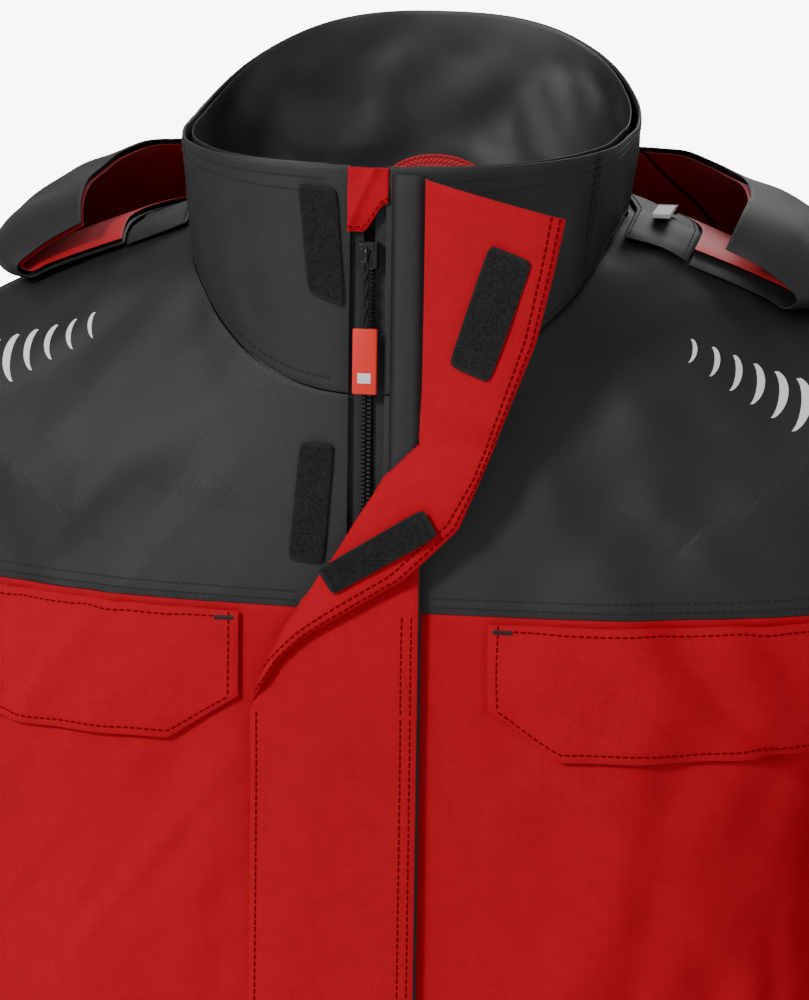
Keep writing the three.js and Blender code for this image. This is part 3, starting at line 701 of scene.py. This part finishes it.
def zip_garage():
    """The red cover that the slider parks under, with its curved lower edge."""
    s = np.linspace(0, 1, 26)[None]
    t = np.linspace(0, 1, 34)[:, None]
    x = -9.0 + 18.0 * s
    foot = -28.5 + 12.5 * smooth(s, 0.35, 0.98)
    up = -0.6 + (foot + 0.6) * t
    crease = 1.1 * np.exp(-((x + 1.5 - (up + 10) * 0.45) / 2.4) ** 2)
    forward = 0.9 + crease + 0.5 * np.sin(up * 0.3)
    sewn("garage", on_band(x, forward, up), 1.0, RED, "zip_garage", facing=(0, -1, 0))
    place = np.stack([x[0], 1.9 + 0 * x[0], foot[0] + 2.2], 0)
    points = on_band(place[0], place[1] + 0.5, place[2])
    stitches("garage_stitching", [(points, np.tile((0, -1.0, 0), (len(points), 1)))], RED_THREAD)


def placket():
    level = np.linspace(-3, ZIP_BOTTOM, 210)[:, None]
    x = np.linspace(10.5, 26.3, 12)[None]
    round_off = 3.9 * (1 - np.abs((x - 18.4) / 8.4) ** 4)
    sewn("placket", on_band(x, 0.6 + round_off + 0 * level, level), 0.9, BLACK, "zip_placket",
         facing=(0, -1, 0))


# ---- storm flap ----
# Each row: level on the seam, crease, free edge and how far the free edge stands forward.
FOLD_ROWS = np.array([
    (-4, 25.5, -4, 88, -19, 9),
    (-28, 25.5, -28, 84, -42, 12),
    (-60, 25.5, -60, 77, -72, 13),
    (-95, 25.5, -95, 65, -104, 14),
    (-119, 25.0, -119, 54, -133, 14),
    (-136, 9.0, -135, 44, -156, 13),
    (-168, -11.0, -168, 20, -180, 12),
    (-192, -27.0, -192, -7, -197, 11),
    (-206, -35.8, -206, -21, -206, 10),
    (-220, -42.6, -220, -34, -217, 9),
    (-232, -47.0, -232, -43, -231, 8.5),
    (-243, -49.5, -243, -49.5, -243, 8),
], float)


FLAP_COLS = 54  # the same across both sheets, so that their stitching meets
TURN_OVER = (on_band(0, 0, -236), on_band(0, 0, -110))  # two points on the zip line, about where the open flap's cloth turns over; a piece given them is baked in place, not attached to a body


def flap_upper_grid():
    """Across from the seam to the free edge, down from the collar to the end of the turn-over."""
    v = np.linspace(0, len(FOLD_ROWS) - 1, 130)
    keys = np.arange(len(FOLD_ROWS))
    level, fold_x, fold_z, edge_x, edge_z, stand = (
        np.interp(v, keys, column) for column in FOLD_ROWS.T)
    near = np.hypot(fold_x - HINGE_X, fold_z - level)
    far = np.hypot(edge_x - fold_x, edge_z - fold_z)
    s = np.linspace(0, 1, FLAP_COLS)[None]
    share = (near / (near + far + 1e-6))[:, None]
    folded = s > share
    first = np.where(share > 0, s / np.maximum(share, 1e-6), 0)
    second = (s - share) / np.maximum(1 - share, 1e-6)
    x = np.where(folded, fold_x[:, None] + second * (edge_x - fold_x)[:, None],
                 HINGE_X + first * (fold_x - HINGE_X)[:, None])
    z = np.where(folded, fold_z[:, None] + second * (edge_z - fold_z)[:, None],
                 level[:, None] + first * (fold_z - level)[:, None])
    roll = 3.4 * np.sin(np.clip(second, 0, 1) * math.pi) ** 0.7
    under = 4.8 + 1.2 * np.sin(s * math.pi)
    lift = np.where(folded, 7.2 + roll + second * (stand[:, None] - 7.2), under)
    crease = 2.2 * np.exp(-((z + 113 + 0.25 * (x - 30)) / 7) ** 2) * smooth(x, 26, 46)
    end = smooth(v, len(FOLD_ROWS) - 2.4, len(FOLD_ROWS) - 1)[:, None]
    lift = lift * (1 - end) + under * end
    grid = on_band(x, lift - crease * (1 - end), z)
    wave = ripple(grid, 55, 31) * 0.9 * np.clip(second, 0, 1) * (1 - end)
    grid[..., 1] -= wave
    return grid


def flap_lower_grid():
    s = np.linspace(0, 1, FLAP_COLS)[None]
    t = np.linspace(0, 1, 190)[:, None]
    top = -243 + 0 * s
    end = ZIP_BOTTOM - 2
    x = HINGE_X - s * FLAP_WIDTH
    level = top + (end - top) * t
    grid = on_band(x, 6.2 + 1.2 * np.sin(s * math.pi), level)
    wave = ripple(grid * np.array([1, 1, 0.25]), 40, 41) * 0.8 * (0.25 + s) * smooth(t, 0, 0.05)
    grid[..., 1] -= wave
    return grid


def storm_flap():
    upper, lower = flap_upper_grid(), flap_lower_grid()
    sewn("storm_flap_turned", upper, 1.4, RED, "storm_flap_upper", body="flap_upper", facing=(0, -1, 0),
         bend=TURN_OVER, butted=-1)
    sewn("storm_flap_closed", lower, 1.4, RED, "storm_flap_lower", body="flap_lower", facing=(0, -1, 0),
         bend=(on_band(0, 0, -246), on_band(0, 0, -300)), butted=0)
    ahead = np.array([0, -1.0, 0])
    edges = []
    for k in (-3, -6):
        line = upper[:, k] + ahead * 0.2
        edges.append((line, np.tile(ahead, (len(line), 1))))
    for k in (2, 5):
        line = upper[-44:, k] + ahead * 1.6
        edges.append((line, np.tile(ahead, (len(line), 1))))
    stitches("flap_edge_stitching", edges, RED_THREAD, body="flap_upper",
             bend=TURN_OVER)
    below = []
    for k in (2, 5, -3):
        line = lower[:, k] + ahead * 0.2
        below.append((line, np.tile(ahead, (len(line), 1))))
    stitches("flap_front_stitching", below, RED_THREAD, body="flap_lower",
             bend=(on_band(0, 0, -246), on_band(0, 0, -300)))


# ---- hook and loop strips ----
def strip(name, node, corners, body, pile, count, bend=None):
    """A strip between four corners (x, forward, up) with its pile of small hooks or loops."""
    a, b, c, d = (np.array(p, float) for p in corners)
    s = np.linspace(0, 1, 18)[None, :, None]
    t = np.linspace(0, 1, 40)[:, None, None]
    flat = (a * (1 - s) + b * s) * (1 - t) + (d * (1 - s) + c * s) * t
    middle = flat.mean((0, 1))
    q, r = np.abs(2 * s[..., 0] - 1), np.abs(2 * t[..., 0] - 1)
    round_off = 1 - 0.06 * (q**8) * (r**8)
    flat = middle + (flat - middle) * round_off[..., None]
    grid = on_band(flat[..., 0], flat[..., 1], flat[..., 2])
    piece = cloth(name, grid, 1.0, FUZZ, (0, -1, 0))
    rng = np.random.default_rng(sum(map(ord, name)))
    u, v = rng.uniform(0.02, 0.98, (2, count))
    base = (a[None] * (1 - u[:, None]) + b[None] * u[:, None]) * (1 - v[:, None]) + (
        d[None] * (1 - u[:, None]) + c[None] * u[:, None]) * v[:, None]
    base = middle + (base - middle) * 0.97
    lean = rng.normal(0, 0.55, (count, 2))
    height = rng.uniform(0.5, pile, count)
    width = 0.18
    verts = []
    for dx, dz in ((-width, 0), (width, 0), (0, width)):
        verts.append(on_band(base[:, 0] + dx, base[:, 1] - 0.2, base[:, 2] + dz))
    verts.append(on_band(base[:, 0] + lean[:, 0], base[:, 1] + height, base[:, 2] + lean[:, 1]))
    verts = np.stack(verts, 1).reshape(-1, 3)
    first = 4 * np.arange(count)[:, None, None]
    faces = (first + np.array([(0, 1, 3), (1, 2, 3), (2, 0, 3), (0, 2, 1)])[None]).reshape(-1, 3)
    hairs = new_piece(name + "_pile", verts, faces.tolist(), FUZZ)
    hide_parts(node)
    for o in (piece, hairs):
        if bend:
            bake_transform(o)
        else:
            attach(o, body)
    return piece


def hook_and_loop():
    strip("loop_pile_collar", "loop_strip_collar",
          [(-31, 1.6, -8), (-14, 1.6, -10), (-10, 1.6, -62), (-26, 1.6, -56)], "root", 1.1, 1500)
    strip("loop_pile_chest", "loop_strip_chest",
          [(-29, 1.6, -122), (-14, 1.6, -122), (-18, 1.6, -176), (-34, 1.6, -175)], "root", 1.1, 1500)
    strip("loop_pile_waist", "loop_strip_waist",
          [(-31, 1.6, -472), (-14, 1.6, -472), (-14, 1.6, -526), (-31, 1.6, -526)], "root", 1.0, 600)
    strip("hook_pile_collar", "hook_strip_collar",
          [(56, 15.4, -30), (75, 15.8, -37), (57, 16.4, -90), (39, 15.8, -83)], "flap_upper", 1.0, 2200)
    strip("hook_pile_chest", "hook_strip_chest",
          [(-18, 15.0, -176), (29, 17.4, -146), (36, 17.2, -158), (-11, 14.8, -187)],
          "flap_upper", 1.0, 2000, bend=TURN_OVER)
    strip("hook_pile_waist", "hook_strip_waist",
          [(-42, 4.4, -470), (-22, 4.4, -470), (-22, 4.4, -526), (-42, 4.4, -526)], "flap_lower", 0.6, 600)


# ---- pockets ----
def pocket_flap(side, sign, kind, inset, width, depth, drop, standoff):
    chamfer = depth * 0.55
    s = np.linspace(0, 1, 66)[None]
    t = np.linspace(0, 1, 34)[:, None]
    x = inset + width * s + 0 * t
    corner = 0.36 * np.maximum(0, 1 - (x - inset) / chamfer)
    z = -drop - depth * (1 - corner) * t
    puff = 1.6 * np.sin(math.pi * s) ** 0.6 * np.sin(math.pi * np.clip(t, 0, 1)) ** 0.8
    body = kind + "_flap_" + side
    signed = sign * x

    base = on_front(signed, z, 0.0)
    n = grid_normal(base)
    n *= np.sign(-(n[..., 1]).mean())
    grid = base + n * (standoff + 1.2 + puff)[..., None]
    top = base[0].mean(0)
    lower = base[12].mean(0)
    sewn(kind + "_pocket_flap_" + side, grid, 1.2, RED, body, body=body, facing=(0, -1, 0),
         bend=(top + (0, 0, 1), lower))
    face = grid + n * 0.15
    rows = [(face[:-2, 2], n[:-2, 2]), (face[-3, 2:-2], n[-3, 2:-2]), (face[2, 2:-2], n[2, 2:-2])]
    stitches(kind + "_flap_stitching_" + side, rows, RED_THREAD, body=body, bend=(top + (0, 0, 1), lower))
    tack = face[1:5, 1:6].mean(0)
    stitches(kind + "_flap_tack_" + side, [(tack, n[3, 1:6])], BLACK_THREAD, body=body, pitch=0.8,
             length=0.7, width=2.2, bend=(top + (0, 0, 1), lower))


def pocket_bag(side, sign, kind, inset, width, drop):
    s = np.linspace(0, 1, 16)[None]
    t = np.linspace(0, 1, 20)[:, None]
    x = sign * (inset + width * s) + 0 * t
    grid = on_front(x, -drop - 150 * t + 0 * s, -5.6)
    sewn(kind + "_pocket_pouch_" + side, grid, 1.0, LINING, kind + "_pocket_bag_" + side,
         facing=(0, -1, 0))


def pockets():
    for side, sign in (("right", -1), ("left", 1)):
        pocket_flap(side, sign, "chest", 56, 146, 60, 161, 1.8)
        pocket_flap(side, sign, "lower", 50, 138, 62, 500, 1.2)
        pocket_bag(side, sign, "chest", 64, 102, 188)
        pocket_bag(side, sign, "lower", 58, 108, 520)


# ---- sleeves ----
HEAD = 0.36


def sleeve_point(sign, s, t, out=0.0, folds=1.0):
    s, t = np.broadcast_arrays(np.asarray(s, float), np.asarray(t, float))
    head = np.minimum(t / HEAD, 1)
    turn = math.radians(78) * head
    run = np.maximum(t - HEAD, 0) / (1 - HEAD)
    ease = np.sin(head * math.pi / 2)
    width = np.where(t < HEAD, 214 + (152 - 214) * ease, 152 + (98 - 152) * run)
    depth = np.where(t < HEAD, 146 + (132 - 146) * ease, 132 + (98 * 0.84 - 132) * run)
    zero = np.zeros_like(turn)
    radial = np.stack([sign * np.sin(turn), zero, np.cos(turn)], -1)
    along = np.stack([sign * np.cos(turn), zero, -np.sin(turn)], -1)
    angle = s * 2 * math.pi
    power = 2 / 2.3
    reach = np.sign(np.cos(angle)) * np.abs(np.cos(angle)) ** power
    swing = np.sign(np.sin(angle)) * np.abs(np.sin(angle)) ** power
    base = np.array([sign * 215.4, CENTRE_Y, -280.0])
    plain = base + radial * (4 + width / 2 + width / 2 * reach)[..., None] + along * (400 * run)[..., None]
    plain[..., 1] += depth / 2 * swing
    calm = smooth(t, 0.0, 0.1) * (1 - smooth(t, 0.9, 0.99))
    wide = ripple(plain * np.array([1, 1, 0.7]), 60, 51) * 1.7
    wave = folds * calm * (wide + ripple(plain, 26, 52) * 0.5)
    off = out + wave
    return plain + radial * (off * reach)[..., None] + np.stack([zero, off * swing, zero], -1)


def sleeves():
    cuff = 1 - (52 / 400) * (1 - HEAD)
    s = np.linspace(0, 1, 72, endpoint=False)[None]
    for side, sign in (("right", -1), ("left", 1)):
        body = "sleeve_" + side
        joint = (np.array([sign * 216.0, 5, -120]), np.array([sign * 262.0, 5, -130]))
        parts = (("sleeve_head_", "sleeve_upper_", 0.0, HEAD - 0.001, 60, 0.0, BLACK, "shell_black"),
                 ("sleeve_arm_", "sleeve_lower_", HEAD, cuff, 110, 0.0, RED, "shell_red"),
                 ("sleeve_cuff_", "cuff_", cuff + 0.001, 1.0, 18, 1.0, RED, "shell_red"),
                 ("sleeve_inside_", "sleeve_lining_", 0.0, 0.97, 100, -3.6, LINING, "lining_black"))
        for label, node, first, last, rows, out, material, slot in parts:
            t = np.linspace(first, last, rows)[:, None]
            sewn(label + side, sleeve_point(sign, s, t, out), 1.1, material, node + side, body=body,
                 tube=True,
                 facing=sleeve_away(sign, s, t),
                 bend=joint if first == 0 else None)
        q = 0.93 - 0.16 * np.linspace(0, 1, 20)[None]
        t = np.linspace(cuff + 0.02, 0.985, 14)[:, None]
        grid = sleeve_point(sign, q, t, 3.4)
        sewn("cuff_strap_" + side, grid, 1.3, RED, "cuff_tab_" + side, body="cuff_tab_" + side,
             facing=sleeve_away(sign, q, t))
        rings = []
        around = np.linspace(0, 1, 180)
        for level in (cuff - 0.006, cuff + 0.012, 0.99):
            line = sleeve_point(sign, around, np.full_like(around, level), 1.3 if level > cuff else 0.2)
            rings.append((line, sleeve_away(sign, around, np.full_like(around, level))))
        stitches("sleeve_stitching_" + side, rings, RED_THREAD, body=body)


def sleeve_away(sign, s, t):
    """Outward direction all over a sleeve."""
    a, b = sleeve_point(sign, s, t, 1.0, 0.0), sleeve_point(sign, s, t, 0.0, 0.0)
    d = a - b
    return d / np.maximum(np.linalg.norm(d, axis=-1, keepdims=True), 1e-9)


# ---- hood, lying back ----
def catmull(marks, t):
    """A smooth line through the marks; t runs from 0 to 1. marks has shape (count, ..., 3)."""
    count = len(marks)
    at = np.clip(np.asarray(t, float) * (count - 1), 0, count - 1 - 1e-9)
    i = np.floor(at).astype(int)
    f = (at - i)[..., None]
    pick = lambda k: marks[np.clip(k, 0, count - 1)]
    a, b, c, d = pick(i - 1), pick(i), pick(i + 1), pick(i + 2)
    return 0.5 * (2 * b + (c - a) * f + (2 * a - 5 * b + 4 * c - d) * f**2 + (3 * b - a - 3 * c + d) * f**3)


def hood_grid(first, last, cols, rows, out):
    turns = np.linspace(first, last, cols)
    t = np.linspace(0, 1, rows)
    lines = []
    for turn in turns:
        fold = abs(360 - turn if turn > 180 else turn)
        share = float(smooth(np.array(fold), 85, 180))
        lead = float(smooth(np.array(fold), HOOD_FRONT_TURN - 14, 92))
        low = (2.45 + 0.65 * lead) * (1 - share) + 4.9 * share
        thick = (9 + 21 * lead) * (1 - share) + 52 * share
        rim = (HOOD_END + 0.25) * (1 - share) + 2.3 * share
        spots = [((HOOD_END + 0.01) * (1 - k) + low * k, 3.2 + 4 * k) for k in (0, 0.2, 0.4, 0.6, 0.8)]
        spots += [(low, 7), (low + 0.02, thick * 0.75), ((rim + low) / 2, thick), (rim, thick)]
        marks = np.array([on_body(turn, row, off, 0.0) for row, off in spots])
        step = np.sqrt(np.maximum(np.linalg.norm(np.diff(marks, axis=0), axis=1), 1e-6))
        knots = np.concatenate([[0], np.cumsum(step)]) / step.sum()
        lines.append(catmull(marks, np.interp(t, knots, np.linspace(0, 1, len(knots)))))
    grid = np.stack(lines, 1)
    n = grid_normal(grid)
    spot = int(rows * 0.85)
    away = grid[spot] - np.array([0, CENTRE_Y, 0])
    away[:, 2] = 0
    n *= np.sign((n[spot] * away).sum())
    outer = smooth(t, 0.45, 0.7)[:, None]
    folds = (ripple(grid, 70, 61) * 1.6 + ripple(grid, 30, 62) * 0.6) * outer
    return grid + n * (out + folds)[..., None], n


def hood():
    s = np.linspace(0, 1, 150)[None]
    row = np.linspace(1.1, HOOD_END - 0.005, 40)[:, None]
    turn = HOOD_FRONT_TURN + s * (360 - 2 * HOOD_FRONT_TURN)
    sewn("hood_yoke_band", on_body(turn, row, 3.3), 1.6, BLACK, "hood_band")
    lines = []
    around = np.linspace(HOOD_FRONT_TURN + 1, 359 - HOOD_FRONT_TURN, 360)
    for level in (1.16, HOOD_END - 0.07):
        lines.append((on_body(around, np.full_like(around, level), 3.5),
                      body_normal(around, np.full_like(around, level))))
    stitches("hood_band_stitching", lines, BLACK_THREAD)
    for side, first, last in (("left", HOOD_FRONT_TURN, HOOD_SPLIT - 0.25),
                              ("right", 360 - HOOD_SPLIT + 0.25, 360 - HOOD_FRONT_TURN)):
        grid, n = hood_grid(first, last, 70, 90, 0.9)
        sewn("hood_wing_" + side, grid, 1.6, BLACK, "hood_side_" + side,
             facing=n)
        inside, n = hood_grid(first + 4, last, 60, 80, -2.4)
        lining = cloth("hood_wing_lining_" + side, inside, 0.7, RED_LINING, n)
        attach(lining, "root")
    grid, n = hood_grid(HOOD_SPLIT, 360 - HOOD_SPLIT, 60, 90, 0.9)
    sewn("hood_shell", grid, 1.6, BLACK, "hood_bag", body="hood", facing=n)
    grid, n = hood_grid(HOOD_SPLIT, 360 - HOOD_SPLIT, 50, 70, -3.6)
    sewn("hood_inside", grid, 1.0, RED_LINING, "hood_lining", body="hood", facing=n)
    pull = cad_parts["hood_zip_pull"]
    for slot in pull.material_slots:
        slot.material = WHITE


# ---- hang loop and shoulder marks ----
def hang_loop():
    low = np.array(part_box("hang_loop")[0]) * 1000 + ORIGIN
    angle = np.linspace(0, math.pi, 70)
    half, rise = 27 - 3.5, 17 - 3.5
    across = np.linspace(-3.4, 3.4, 9)
    ribs = 0.25 * np.cos(across * 2.4)
    y = (low[1] + 1.2)
    rows = []
    for a in angle:
        rows.append(np.stack([(half + across) * math.cos(a), y - ribs + 0 * across,
                              -2 + (rise + across) * math.sin(a)], -1))
    foot = [np.stack([half + across, y + 0 * across, -2 - 3 * k + 0 * across], -1) for k in (1, 0.5)]
    back = [np.stack([-(half + across), y + 0 * across, -2 - 3 * k + 0 * across], -1) for k in (0.5, 1)]
    sewn("neck_loop", np.array(foot + rows + back), 1.4, WEBBING, "hang_loop",
         facing=(0, -1, 0))


def crescent_marks():
    """Six plain reflective crescents on each shoulder, growing towards the sleeve."""
    for side, sign in (("right", -1), ("left", 1)):
        verts, faces, count = [], [], 0
        for k in range(6):
            share = k / 5
            x = sign * (136 + 48 * share)
            z = -48 - 22 * share
            tall = 4.5 + 5.5 * share
            angle = np.linspace(-1.15, 1.15, 18)
            for out in (0.1, 0.4):
                for bulge in (1.0, 0.55):
                    px = x + sign * (np.cos(angle) * bulge - 0.42) * tall * 0.95
                    pz = z + np.sin(angle) / math.sin(1.15) * tall
                    verts.append(on_front(px, pz, out))
            index = count + np.arange(4 * 18).reshape(4, 18)
            low_far, low_near, top_far, top_near = index
            sides = ((low_far, low_near), (top_near, top_far), (top_far, low_far), (low_near, top_near))
            for a, b in sides:
                faces += np.stack([a[:-1], a[1:], b[1:], b[:-1]], -1).tolist()
            for e in (0, -1):
                faces.append([low_far[e], low_near[e], top_near[e], top_far[e]])
            count += 4 * 18
        piece = new_piece("crescents_" + side, np.concatenate(verts), [list(map(int, f)) for f in faces],
                          REFLECTIVE)
        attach(piece, "root")


# ---- light, floor and camera ----
def studio():
    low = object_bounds()[0]
    bpy.ops.mesh.primitive_plane_add(size=40, location=(0, 0, low[2] - 0.03))
    floor = bpy.context.object
    floor.name = "studio_floor"
    pale = finish("pale_floor", (0.86, 0.86, 0.86), (0.88, 0.88, 0.88), 0.9, bump=0.0)
    tree = pale.node_tree
    shader = tree.nodes["Principled BSDF"]
    shader.inputs["Emission Color"].default_value = (1, 1, 1, 1)
    seen = tree.nodes.new("ShaderNodeLightPath")
    glow = 8.0  # only the camera sees it, so that it lights nothing
    tree.links.new(sum_node(tree, "MULTIPLY", seen.outputs["Is Camera Ray"], glow),
                   shader.inputs["Emission Strength"])
    floor.data.materials.append(pale)
    world = bpy.data.worlds.new("soft_room")
    bpy.context.scene.world = world
    world.use_nodes = True
    room = world.node_tree.nodes["Background"]
    room.inputs[0].default_value = (0.97, 0.98, 1.0, 1)
    room.inputs[1].default_value = 0.38
    lamps = (  # place in metres, size in metres, watts
        ((-1.4, -2.2, 1.5), 0.5, 62),
        ((1.8, -1.6, 0.9), 0.9, 4),
        ((0.2, 1.8, 1.6), 1.4, 30),
    )
    for place, size, power in lamps:
        light = bpy.data.lights.new("soft_box", "AREA")
        light.size, light.energy = size, power
        lamp = bpy.data.objects.new("soft_box", light)
        lamp.location = place
        lamp.rotation_euler = (Vector((0, 0, -0.2)) - Vector(place)).to_track_quat("-Z", "Y").to_euler()
        bpy.context.scene.collection.objects.link(lamp)
    camera = bpy.data.cameras.new("camera")
    camera.sensor_fit = "HORIZONTAL"
    camera.lens = 184
    turn, lift = math.radians(10.9), math.radians(14.9)
    distance = 1.818  # metres
    aim = Vector(metres((16.0, -97.0, -110.0)))
    back = Vector((math.sin(turn) * math.cos(lift), -math.cos(turn) * math.cos(lift), math.sin(lift)))
    eye = bpy.data.objects.new("camera", camera)
    eye.location = aim + back * distance
    eye.rotation_euler = (-back).to_track_quat("-Z", "Y").to_euler()
    bpy.context.scene.collection.objects.link(eye)
    bpy.context.scene.camera = eye


shell()
yoke_stitching()
collar()
zip_tapes()
zip_coils()
zip_slider()
zip_pull()
zip_garage()
placket()
storm_flap()
hook_and_loop()
pockets()
sleeves()
hood()
hang_loop()
crescent_marks()
studio()
